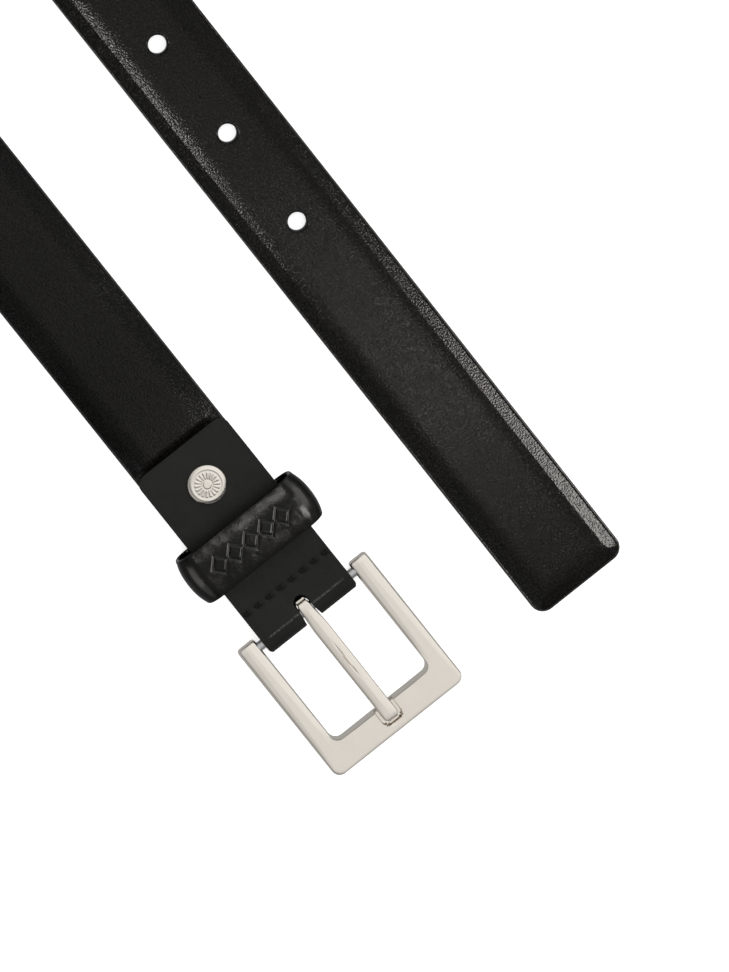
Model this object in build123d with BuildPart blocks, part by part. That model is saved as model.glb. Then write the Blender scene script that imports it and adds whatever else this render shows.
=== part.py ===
from build123d import *
import math
import os

os.makedirs("parts", exist_ok=True)

# A dress belt, laid down face up: both ends lie flat and side by side, and the middle of the strap
# twists onto its edge and stands in an open loop. X runs along the two ends, Z is up, and the belt
# rests on Z = 0. The origin is under the middle of the whole belt.

# ---- strap -------------------------------------------------------------------------------------
overall_length = 530.0
strap_width = 30.0
lining_thickness = 1.0
outer_thickness = 1.0
filler_rise = 1.2
edge_height = 1.65
margin_height = 1.95
plateau_half_width = 9.0
margin_half_width = 11.0
filler_top_half_width = 8.4
filler_base_half_width = 10.6
filler_feather = 0.08

half_width = strap_width / 2
flat_thickness = lining_thickness + outer_thickness
strap_thickness = flat_thickness + filler_rise

# ---- how the belt lies -------------------------------------------------------------------------
leg_offset = 32.0
loop_radius = 56.0
loop_flare = 38.0
tip_x = overall_length / 2
tip_leg_length = 273.0
billet_length = 262.0
flex_gap = 0.3
twist_steps = 12
flare_steps = 6
loop_steps = 32

# ---- tip and holes -----------------------------------------------------------------------------
tip_corner_radius = 4.5
tip_margin = 5.2
shoulder_length = 2.4
hole_radius = 2.6
hole_count = 5
hole_pitch = 31.0
first_hole_from_tip = 129.0

# ---- buckle, measured from its bar -------------------------------------------------------------
buckle_width = 44.9
buckle_inside = 33.2
buckle_front = 42.9
buckle_front_inside = 33.9
buckle_back = 2.6
buckle_thickness = 4.4
bar_height = 2.7
bar_radius = 1.4
bar_seat_depth = 3.2
frame_corner_radius = 3.2
rail_end_radius = 1.4
window_corner_radius = 2.6
frame_top_radius = 1.0
frame_bottom_radius = 0.4
tongue_width = 4.6
tongue_clearance = 0.06
tongue_eye_radius = 2.62
tongue_tip = 39.0
tongue_thickness = 2.0
notch_width = 6.4
notch_depth = 1.2
notch_start = 31.9
notch_end = 39.9
notch_corner_radius = 2.2
tongue_tail = 3.9
tongue_tip_chamfer = 1.1
tongue_rest_gap = 0.05
tongue_tip_bevel = 1.2
tongue_tip_drop = 0.7
tongue_tip_lift = 0.5
tongue_tail_rise = 0.6
tongue_tail_drop = 0.9
tongue_tail_bevel = 0.8
seam_distance = 2.9
seam_width = 0.25
seam_depth = 0.5

# ---- tab that holds the buckle, measured from the bar ------------------------------------------
tab_width = 30.4
tab_thickness = 1.0
tab_end = 57.8
tab_corner_radius = 3.0
tab_back_end = 52.0
fold_corner_radius = 1.2
leather_hole_clearance = 0.03
leaf_gap_height = 2.05
fold_centre = 1.05
fold_inner_radius = 1.6
leaf_bend = 8.8
slot_width = 6.0
slot_end = 6.3
strap_end = 7.2
ramp_length = 42.0
ramp_steps = 5
stitch_line = 9.6
stitch_pitch = 3.9
stitch_count = 8
thread_width = 0.8
thread_depth = 0.5

# ---- rivet and keeper, measured from the bar ---------------------------------------------------
rivet_distance = 45.0
rivet_cap_radius = 5.4
rivet_cap_height = 1.5
rivet_tube_radius = 1.8
rivet_core_radius = 1.2
rivet_foot_radius = 4.4
rivet_foot_height = 0.8
rivet_core_gap = 0.4
keeper_near = 18.8
keeper_length = 14.8
keeper_width = 42.6
keeper_top = 12.2
keeper_wall = 1.8
keeper_floor = 1.0
keeper_roof = 2.1
keeper_corner_radius = 5.6
keeper_inner_radius = 4.0
keeper_edge_radius = 0.8
keeper_slit = 0.2
staple_length = 9.0
staple_width = 0.8
staple_wire = 0.4
staple_leg = 0.8

bar_x = tip_x - buckle_front
bar_y = -leg_offset
flex_x = tip_x - billet_length
twist_start_x = tip_x - tip_leg_length
tab_top_z = leaf_gap_height + flat_thickness + tab_thickness
leaf_top_z = leaf_gap_height + flat_thickness
leaf_bottom_z = leaf_gap_height - tab_thickness

# ---- the path of the strap's back face ---------------------------------------------------------


def smooth(t):
    return t * t * (3 - 2 * t)


def station(point, heading, normal, rise=1.0):
    """A cross-section plane: local X runs across the strap, local Y out of its outer face."""
    across = Vector(*heading).cross(Vector(*normal))
    plane = Plane(origin=point, x_dir=across, z_dir=-Vector(*heading))
    return plane, rise


def twist(side, from_x, to_x, heading, flat_first):
    """Stations that turn the strap a quarter turn about its own length."""
    made = []
    for i in range(1, twist_steps + 1):
        t = i / twist_steps
        angle = math.radians(90) * (smooth(t) if flat_first else 1 - smooth(t))
        x = from_x + (to_x - from_x) * t
        height = half_width * math.sin(angle)
        normal = (0, side * math.sin(angle), math.cos(angle))
        made.append(station((x, side * leg_offset, height), heading, normal))
    return made


def arc(centre, radius, from_angle, to_angle, steps, outward):
    """Stations along an arc of the loop, where the strap stands on its edge."""
    made = []
    turn = 1 if to_angle > from_angle else -1
    for i in range(1, steps + 1):
        angle = math.radians(from_angle + (to_angle - from_angle) * i / steps)
        point = (centre[0] + radius * math.cos(angle), centre[1] + radius * math.sin(angle), half_width)
        heading = (-turn * math.sin(angle), turn * math.cos(angle), 0)
        normal = (outward * math.cos(angle), outward * math.sin(angle), 0)
        made.append(station(point, heading, normal))
    return made


flare = math.radians(loop_flare)
flare_radius = (loop_radius * math.cos(flare) - leg_offset) / (1 - math.cos(flare))
loop_centre_x = strap_thickness - overall_length / 2 + loop_radius
loop_start_x = loop_centre_x + (loop_radius + flare_radius) * math.sin(flare)
flare_y = leg_offset + flare_radius

tip_leg = [
    station((flex_x, leg_offset, 0), (-1, 0, 0), (0, 0, 1)),
    station((twist_start_x, leg_offset, 0), (-1, 0, 0), (0, 0, 1)),
]
standing_loop = (
    twist(1, twist_start_x, loop_start_x, (-1, 0, 0), True)
    + arc((loop_start_x, flare_y), flare_radius, 270, 270 - loop_flare, flare_steps, -1)
    + arc((loop_centre_x, 0), loop_radius, 90 - loop_flare, 270 + loop_flare, loop_steps, 1)
    + arc((loop_start_x, -flare_y), flare_radius, 90 + loop_flare, 90, flare_steps, -1)
    + twist(-1, loop_start_x, twist_start_x, (1, 0, 0), False)
)

ramp_start_x = bar_x - tab_end - ramp_length
shoulder_x = bar_x - tab_end - shoulder_length
buckle_leg = []
for i in range(ramp_steps + 1):
    t = i / ramp_steps
    x = ramp_start_x + (shoulder_x - ramp_start_x) * t
    buckle_leg.append(station((x, bar_y, leaf_gap_height * smooth(t)), (1, 0, 0), (0, 0, 1)))
tab_stations = [
    station((shoulder_x + shoulder_length, bar_y, leaf_gap_height), (1, 0, 0), (0, 0, 1), 0.0),
    station((bar_x - strap_end, bar_y, leaf_gap_height), (1, 0, 0), (0, 0, 1), 0.0),
]
strap_stations = tip_leg + standing_loop + buckle_leg + tab_stations

billet_start_x = flex_x + flex_gap
billet_stations = [
    station((tip_x, leg_offset, 0), (-1, 0, 0), (0, 0, 1), 0.0),
    station((tip_x - tip_margin, leg_offset, 0), (-1, 0, 0), (0, 0, 1), 0.0),
    station((tip_x - tip_margin - shoulder_length, leg_offset, 0), (-1, 0, 0), (0, 0, 1)),
    station((billet_start_x, leg_offset, 0), (-1, 0, 0), (0, 0, 1)),
]

# ---- cross-sections of the three layers --------------------------------------------------------


def lining_outline(rise):
    return [
        (-half_width, 0),
        (half_width, 0),
        (half_width, lining_thickness),
        (-half_width, lining_thickness),
    ]


def filler_outline(rise):
    top = lining_thickness + filler_rise * max(rise, filler_feather)
    return [
        (-filler_base_half_width, lining_thickness),
        (filler_base_half_width, lining_thickness),
        (filler_top_half_width, top),
        (-filler_top_half_width, top),
    ]


def outer_outline(rise):
    lift = filler_rise * max(rise, filler_feather)
    right_side = [
        (filler_top_half_width, lining_thickness + lift),
        (filler_base_half_width, lining_thickness),
        (half_width, lining_thickness),
        (half_width, edge_height),
        (margin_half_width, margin_height),
        (plateau_half_width, flat_thickness + filler_rise * rise),
    ]
    left_side = [(-w, h) for w, h in reversed(right_side)]
    return right_side + left_side


def lofted(stations, outline):
    """One layer of the strap, ruled from station to station."""
    with BuildPart() as layer:
        for plane, rise in stations:
            with BuildSketch(plane):
                with BuildLine():
                    Polyline(*outline(rise), close=True)
                make_face()
        loft(ruled=True)
    return layer.part


# ---- strap, from the flex line of the tip leg round to the buckle ------------------------------

rivet_x = bar_x - rivet_distance
stitch_x = bar_x - stitch_line
stitch_row = [bar_y + stitch_pitch * (i - stitch_count / 2) for i in range(stitch_count + 1)]


def strap_layer(outline):
    """A layer of the strap, with the rivet's hole and the stitch holes where the tab holds it."""
    with BuildPart() as layer:
        add(lofted(strap_stations, outline))
        with Locations((rivet_x, bar_y, leaf_gap_height)):
            Hole(rivet_tube_radius + leather_hole_clearance)
        with Locations(*[(stitch_x, y, leaf_gap_height) for y in stitch_row]):
            Box(thread_width, thread_width, 3 * flat_thickness, mode=Mode.SUBTRACT)
    return layer


strap_outer = strap_layer(outer_outline)
strap_lining = strap_layer(lining_outline)

with BuildPart() as strap_filler:
    add(lofted(strap_stations[:-1], filler_outline))

# ---- billet: the free end of the strap, with the holes -----------------------------------------

hole_places = [
    (tip_x - first_hole_from_tip - hole_pitch * i, leg_offset, 0) for i in range(hole_count)
]


def billet_layer(stations, outline):
    """One layer of the billet: lofted along the leg, then its tip corners rounded and its holes cut."""
    with BuildPart() as layer:
        add(lofted(stations, outline))
        with BuildSketch(Plane.XY.offset(-1)) as plan:
            with Locations((tip_x - billet_length, leg_offset)):
                Rectangle(2 * billet_length, strap_width)
            fillet(plan.vertices().group_by(Axis.X)[-1], tip_corner_radius)
        extrude(amount=2 * strap_thickness, mode=Mode.INTERSECT)
        with Locations(*hole_places):
            Hole(hole_radius)
    return layer


billet_outer = billet_layer(billet_stations, outer_outline)
billet_lining = billet_layer(billet_stations, lining_outline)
billet_filler = billet_layer(billet_stations[1:], filler_outline)

# ---- tab: one strip folded round the bar, with the strap's end between its two leaves ----------


def side_plane():
    """Local X runs along the belt from the bar, local Y is height above the table."""
    return Plane(origin=(bar_x, bar_y, 0), x_dir=(1, 0, 0), z_dir=(0, -1, 0))


def top_plane(height):
    """Local X runs along the belt from the bar, local Y across it from the middle."""
    return Plane.XY.offset(height).shift_origin((bar_x, bar_y, height))


def cross_plane(distance):
    """Local X runs across the belt, local Y is height, this far from the bar towards the strap."""
    return Plane(origin=(bar_x - distance, bar_y, 0), x_dir=(0, 1, 0), z_dir=(1, 0, 0))


fold_outer_radius = fold_inner_radius + tab_thickness
with BuildPart() as chape_tab:
    with BuildSketch(side_plane()):
        with BuildLine():
            outer_top = (fold_centre, bar_height + fold_outer_radius)
            outer_front = (fold_centre + fold_outer_radius, bar_height)
            outer_bottom = (fold_centre, bar_height - fold_outer_radius)
            inner_top = (fold_centre, bar_height + fold_inner_radius)
            inner_front = (fold_centre + fold_inner_radius, bar_height)
            inner_bottom = (fold_centre, bar_height - fold_inner_radius)
            Polyline((-tab_end, leaf_top_z), (-tab_end, tab_top_z), (-leaf_bend, tab_top_z), outer_top)
            ThreePointArc(outer_top, outer_front, outer_bottom)
            Polyline(
                outer_bottom,
                (-leaf_bend, leaf_bottom_z),
                (-tab_back_end, leaf_bottom_z),
                (-tab_back_end, leaf_gap_height),
                (-leaf_bend, leaf_gap_height),
                inner_bottom,
            )
            ThreePointArc(inner_bottom, inner_front, inner_top)
            Polyline(inner_top, (-leaf_bend, leaf_top_z), (-tab_end, leaf_top_z))
        make_face()
    extrude(amount=tab_width / 2, both=True)
    with BuildSketch(top_plane(leaf_gap_height)) as leaf_plan:
        with Locations(((fold_centre + fold_outer_radius - tab_end) / 2, 0)):
            Rectangle(fold_centre + fold_outer_radius + tab_end, tab_width)
        fillet(leaf_plan.vertices().group_by(Axis.X)[0], tab_corner_radius)
        fillet(leaf_plan.vertices().group_by(Axis.X)[-1], fold_corner_radius)
    extrude(amount=2 * strap_thickness, both=True, mode=Mode.INTERSECT)
    with BuildSketch(top_plane(leaf_gap_height)) as slot_plan:
        with Locations(((tab_end - slot_end) / 2, 0)):
            Rectangle(tab_end + slot_end, slot_width)
        fillet(slot_plan.vertices().group_by(Axis.X)[0], 0.99 * slot_width / 2)
    extrude(amount=2 * strap_thickness, both=True, mode=Mode.SUBTRACT)
    with Locations((rivet_x, bar_y, leaf_gap_height)):
        Hole(rivet_tube_radius + leather_hole_clearance)
    with Locations(*[(stitch_x, y, leaf_gap_height) for y in stitch_row]):
        Box(thread_width, thread_width, 4 * strap_thickness, mode=Mode.SUBTRACT)

# ---- thread of the stitch row: a run above, a run below, and a leg through each hole -----------

with BuildPart() as chape_stitching:
    row_length = stitch_row[-1] - stitch_row[0] + thread_width
    for bottom in (leaf_bottom_z - thread_depth, tab_top_z):
        with Locations((stitch_x, bar_y, bottom + thread_depth / 2)):
            Box(thread_width, row_length, thread_depth)
    for y in stitch_row:
        with Locations((stitch_x, y, (leaf_bottom_z + tab_top_z) / 2)):
            Box(thread_width, thread_width, tab_top_z - leaf_bottom_z)

# ---- rivet: a cap with a tube, and a foot whose core is pressed up into the tube ---------------

with BuildPart() as rivet_cap:
    with Locations((rivet_x, bar_y, tab_top_z)):
        Cylinder(rivet_cap_radius, rivet_cap_height, align=(Align.CENTER, Align.CENTER, Align.MIN))
    chamfer(rivet_cap.edges().group_by(Axis.Z)[-1], rivet_cap_height / 2)
    with Locations((rivet_x, bar_y, leaf_bottom_z)):
        tube_height = tab_top_z - leaf_bottom_z
        Cylinder(rivet_tube_radius, tube_height, align=(Align.CENTER, Align.CENTER, Align.MIN))
        Cylinder(
            rivet_core_radius,
            tube_height,
            align=(Align.CENTER, Align.CENTER, Align.MIN),
            mode=Mode.SUBTRACT,
        )

with BuildPart() as rivet_foot:
    with Locations((rivet_x, bar_y, leaf_bottom_z)):
        Cylinder(rivet_foot_radius, rivet_foot_height, align=(Align.CENTER, Align.CENTER, Align.MAX))
    chamfer(rivet_foot.edges().group_by(Axis.Z)[0], rivet_foot_height / 2)
    with Locations((rivet_x, bar_y, leaf_bottom_z)):
        Cylinder(
            rivet_core_radius,
            tube_height - rivet_core_gap,
            align=(Align.CENTER, Align.CENTER, Align.MIN),
        )

# ---- keeper: a stiff leather band bent into a loop, its ends butted underneath and stapled -----

keeper_middle = keeper_near + keeper_length / 2

with BuildPart() as keeper_staple:
    with Locations((bar_x - keeper_middle, bar_y, keeper_floor)):
        Box(staple_width, staple_length, staple_wire, align=(Align.CENTER, Align.CENTER, Align.MAX))
    for side in (-1, 1):
        leg_y = bar_y + side * (staple_length - staple_wire) / 2
        with Locations((bar_x - keeper_middle, leg_y, keeper_floor)):
            Box(staple_width, staple_wire, staple_leg, align=(Align.CENTER, Align.CENTER, Align.MAX))

with BuildPart() as keeper_loop:
    with BuildSketch(cross_plane(keeper_near + keeper_length)):
        with Locations((0, keeper_top / 2)):
            RectangleRounded(keeper_width, keeper_top, keeper_corner_radius)
    extrude(amount=keeper_length)
    fillet(keeper_loop.faces().filter_by(Axis.X).edges(), keeper_edge_radius)
    with BuildSketch(cross_plane(keeper_near + 2 * keeper_length)):
        inside_height = keeper_top - keeper_floor - keeper_roof
        with Locations((0, keeper_floor + inside_height / 2)):
            RectangleRounded(keeper_width - 2 * keeper_wall, inside_height, keeper_inner_radius)
    extrude(amount=3 * keeper_length, mode=Mode.SUBTRACT)
    with Locations((bar_x - keeper_middle, bar_y, 0)):
        Box(2 * keeper_length, keeper_slit, 3 * keeper_floor, mode=Mode.SUBTRACT)
    add(keeper_staple.part, mode=Mode.SUBTRACT)

# ---- buckle: cast frame, bar pressed into its two rails, tongue curled round the bar -----------

with BuildPart() as buckle_bar:
    with Locations(Location((bar_x, bar_y, bar_height), (90, 0, 0))):
        Cylinder(bar_radius, buckle_inside + 2 * bar_seat_depth)

with BuildPart() as buckle_frame:
    with BuildSketch(top_plane(0)) as outline:
        with Locations(((buckle_front - buckle_back) / 2, 0)):
            Rectangle(buckle_front + buckle_back, buckle_width)
        fillet(outline.vertices().group_by(Axis.X)[-1], frame_corner_radius)
        fillet(outline.vertices().group_by(Axis.X)[0], rail_end_radius)
    extrude(amount=buckle_thickness)
    fillet(buckle_frame.faces().group_by(Axis.Z)[-1].edges(), frame_top_radius)
    fillet(buckle_frame.faces().group_by(Axis.Z)[0].edges(), frame_bottom_radius)
    with BuildSketch(top_plane(0)) as window:
        with Locations(((buckle_front_inside - buckle_front) / 2, 0)):
            Rectangle(buckle_front_inside + buckle_front, buckle_inside)
        fillet(window.vertices().group_by(Axis.X)[-1], window_corner_radius)
    extrude(amount=buckle_thickness, mode=Mode.SUBTRACT)
    with BuildSketch(top_plane(buckle_thickness - notch_depth)) as notch:
        with Locations(((notch_end + notch_start) / 2, 0)):
            Rectangle(notch_end - notch_start, notch_width)
        fillet(notch.vertices().group_by(Axis.X)[-1], notch_corner_radius)
    extrude(amount=buckle_thickness, mode=Mode.SUBTRACT)
    add(buckle_bar.part, mode=Mode.SUBTRACT)

with BuildPart() as buckle_tongue:
    plate_bottom = buckle_thickness - notch_depth + tongue_rest_gap
    plate_top = plate_bottom + tongue_thickness
    eye_top = bar_height + tongue_eye_radius
    with BuildSketch(side_plane()):
        with Locations((0, bar_height)):
            Circle(tongue_eye_radius)
        with BuildLine():
            Polyline(
                (-tongue_tail, bar_height + tongue_tail_rise),
                (-tongue_tail, eye_top - tongue_tail_drop),
                (-tongue_tail + tongue_tail_bevel, eye_top),
                (tongue_tip - tongue_tip_bevel, plate_top),
                (tongue_tip, plate_top - tongue_tip_drop),
                (tongue_tip, plate_bottom + tongue_tip_lift),
                (tongue_tip - tongue_tip_bevel, plate_bottom),
                (tongue_eye_radius, plate_bottom),
                (0, bar_height),
                close=True,
            )
        make_face()
        with Locations((0, bar_height)):
            Circle(bar_radius + tongue_clearance, mode=Mode.SUBTRACT)
    extrude(amount=tongue_width / 2, both=True)
    with BuildSketch(top_plane(0)) as tongue_plan:
        with Locations(((tongue_tip - tongue_tail) / 2, 0)):
            Rectangle(tongue_tip + tongue_tail, tongue_width)
        chamfer(tongue_plan.vertices().group_by(Axis.X)[-1], tongue_tip_chamfer)
    extrude(amount=3 * buckle_thickness, mode=Mode.INTERSECT)
    with Locations((bar_x - seam_distance, bar_y, eye_top)):
        Box(seam_width, 2 * tongue_width, 2 * seam_depth, mode=Mode.SUBTRACT)

# ---- write every piece -------------------------------------------------------------------------

pieces = {
    "strap_outer": strap_outer,
    "strap_filler": strap_filler,
    "strap_lining": strap_lining,
    "billet_outer": billet_outer,
    "billet_filler": billet_filler,
    "billet_lining": billet_lining,
    "chape_tab": chape_tab,
    "chape_stitching": chape_stitching,
    "rivet_cap": rivet_cap,
    "rivet_foot": rivet_foot,
    "keeper_loop": keeper_loop,
    "keeper_staple": keeper_staple,
    "buckle_frame": buckle_frame,
    "buckle_bar": buckle_bar,
    "buckle_tongue": buckle_tongue,
}
for name, piece in pieces.items():
    piece.part.label = name
    export_step(piece.part, f"parts/{name}.step")
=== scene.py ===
import math

import bmesh
import bpy
import numpy as np
from mathutils import Matrix, Vector


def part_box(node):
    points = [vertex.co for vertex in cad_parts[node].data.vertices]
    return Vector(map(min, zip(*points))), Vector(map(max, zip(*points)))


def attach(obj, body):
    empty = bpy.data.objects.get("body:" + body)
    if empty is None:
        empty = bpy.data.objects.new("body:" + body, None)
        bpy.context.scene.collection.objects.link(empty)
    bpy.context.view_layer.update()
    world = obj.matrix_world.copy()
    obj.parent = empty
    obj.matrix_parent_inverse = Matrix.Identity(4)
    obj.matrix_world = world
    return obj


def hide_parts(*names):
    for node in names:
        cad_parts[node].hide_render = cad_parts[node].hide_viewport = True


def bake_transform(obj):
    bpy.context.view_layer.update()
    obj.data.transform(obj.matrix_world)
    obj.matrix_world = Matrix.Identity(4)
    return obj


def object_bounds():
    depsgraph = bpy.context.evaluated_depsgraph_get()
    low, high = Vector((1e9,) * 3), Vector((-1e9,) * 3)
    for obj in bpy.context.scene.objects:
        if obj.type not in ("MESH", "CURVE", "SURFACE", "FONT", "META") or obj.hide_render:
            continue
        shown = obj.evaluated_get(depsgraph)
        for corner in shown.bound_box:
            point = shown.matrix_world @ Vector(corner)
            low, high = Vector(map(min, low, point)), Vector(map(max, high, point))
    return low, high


# Looks of a leather dress belt. Shapes are worked out in millimetres in the frame of the CAD model,
# and made in metres. A piece's own coordinates are: along the strap, across it, and height off it.

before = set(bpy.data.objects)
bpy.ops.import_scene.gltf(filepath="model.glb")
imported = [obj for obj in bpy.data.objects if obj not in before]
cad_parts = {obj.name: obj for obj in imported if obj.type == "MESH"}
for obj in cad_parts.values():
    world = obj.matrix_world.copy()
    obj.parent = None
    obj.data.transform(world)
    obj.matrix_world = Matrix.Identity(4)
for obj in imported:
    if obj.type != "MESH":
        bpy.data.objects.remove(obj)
cad_low, cad_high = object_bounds()

MM = 0.001
FAR = 99.0


def box_mm(node):
    low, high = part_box(node)
    return [v / MM for v in low], [v / MM for v in high]


# ---- sizes that the frame gives ----

billet_low, billet_high = box_mm("billet_outer")
strap_low = box_mm("strap_outer")[0]
tab_low, tab_high = box_mm("chape_tab")
bar_low, bar_high = box_mm("buckle_bar")
frame_low, frame_high = box_mm("buckle_frame")
tongue_low, tongue_high = box_mm("buckle_tongue")
keeper_low, keeper_high = box_mm("keeper_loop")
cap_low, cap_high = box_mm("rivet_cap")
thread_low, thread_high = box_mm("chape_stitching")

tip_x = billet_high[0]
half_width = (billet_high[1] - billet_low[1]) / 2
leg_offset = (billet_high[1] + billet_low[1]) / 2
lining_top = box_mm("billet_lining")[1][2]
plateau_top = billet_high[2]
bar_x = (bar_low[0] + bar_high[0]) / 2
bar_y = (bar_low[1] + bar_high[1]) / 2
bar_z = (bar_low[2] + bar_high[2]) / 2

# ---- how the strap lies ----

loop_radius = 56.0
loop_flare = math.radians(38)
twist_start_x = -8.0
bend_seam_x = -20.0
leaf_gap_height = 2.05
ramp_length = 42.0
shoulder_length = 2.4
strap_end_x = bar_x - 7.2

flare_radius = (loop_radius * math.cos(loop_flare) - leg_offset) / (1 - math.cos(loop_flare))
loop_centre_x = strap_low[0] + plateau_top + loop_radius
loop_start_x = loop_centre_x + (loop_radius + flare_radius) * math.sin(loop_flare)
flare_y = leg_offset + flare_radius


def smooth(t):
    t = np.clip(t, 0, 1)
    return t * t * (3 - 2 * t)


def leg(side, xs, heading):
    """Stations along one leg: the strap turns from flat to standing on its edge towards the loop."""
    t = (twist_start_x - xs) / (twist_start_x - loop_start_x)
    angle = smooth(t) * math.pi / 2
    zero = np.zeros_like(xs)
    point = np.stack([xs, zero + side * leg_offset, half_width * np.sin(angle)], axis=1)
    normal = np.stack([zero, side * np.sin(angle), np.cos(angle)], axis=1)
    across = np.cross([heading, 0, 0], normal)
    return point, across, normal


def arc(centre, radius, from_angle, to_angle, steps, outward):
    """Stations along an arc of the standing loop."""
    angle = np.linspace(from_angle, to_angle, steps + 1)[1:]
    turn = math.copysign(1, to_angle - from_angle)
    zero = np.zeros_like(angle)
    direction = np.stack([np.cos(angle), np.sin(angle), zero], axis=1)
    heading = turn * np.stack([-np.sin(angle), np.cos(angle), zero], axis=1)
    point = np.array([centre[0], centre[1], half_width]) + radius * direction
    normal = outward * direction
    return point, np.cross(heading, normal), normal


# ---- meshes ----

crease_angle = math.radians(48)


def add_object(name, data):
    made = bpy.data.objects.new(name, data)
    bpy.context.scene.collection.objects.link(made)
    return made


def make_piece(name, points, faces, materials, slots=None, uv=None, flat=()):
    """A closed mesh from points in millimetres. flat lists faces that aren't smooth-shaded."""
    mesh = bpy.data.meshes.new(name)
    mesh.from_pydata((np.asarray(points) * MM).tolist(), [], faces)
    for material in materials:
        mesh.materials.append(material)
    shade = np.ones(len(faces), bool)
    shade[list(flat)] = False
    mesh.polygons.foreach_set("use_smooth", shade)
    if slots is not None:
        mesh.polygons.foreach_set("material_index", slots)
    if uv is not None:
        layer = mesh.uv_layers.new(name="surface")
        corner = np.zeros(len(mesh.loops), int)
        mesh.loops.foreach_get("vertex_index", corner)
        layer.data.foreach_set("uv", (np.asarray(uv) * MM)[corner].ravel())
    tidy = bmesh.new()
    tidy.from_mesh(mesh)
    bmesh.ops.recalc_face_normals(tidy, faces=tidy.faces)
    for edge in tidy.edges:
        if len(edge.link_faces) == 2 and edge.calc_face_angle() > crease_angle:
            edge.smooth = False
    tidy.to_mesh(mesh)
    tidy.free()
    mesh.update()
    return add_object(name, mesh)


def tube_faces(rings, around):
    """Faces of a closed tube of equal rings, with its first and its last ring capped at the end."""
    faces = []
    for i in range(rings - 1):
        row, following = i * around, (i + 1) * around
        for k in range(around):
            m = (k + 1) % around
            faces.append([row + k, row + m, following + m, following + k])
    last = (rings - 1) * around
    faces.append(list(range(around)))
    faces.append([last + k for k in reversed(range(around))])
    return faces


def rounding(distance, width, drop):
    """How far a rounded edge of this width has dropped at a distance from it."""
    return drop * np.clip(1 - distance / width, 0, 1) ** 2


def soft_line(distance, width, depth):
    """How deep a soft line is at a distance from its middle."""
    return depth * np.exp(-((distance / width) ** 2))


def without_repeats(face):
    kept = [v for i, v in enumerate(face) if v != face[i - 1]]
    return kept if len(kept) > 2 else None


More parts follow.
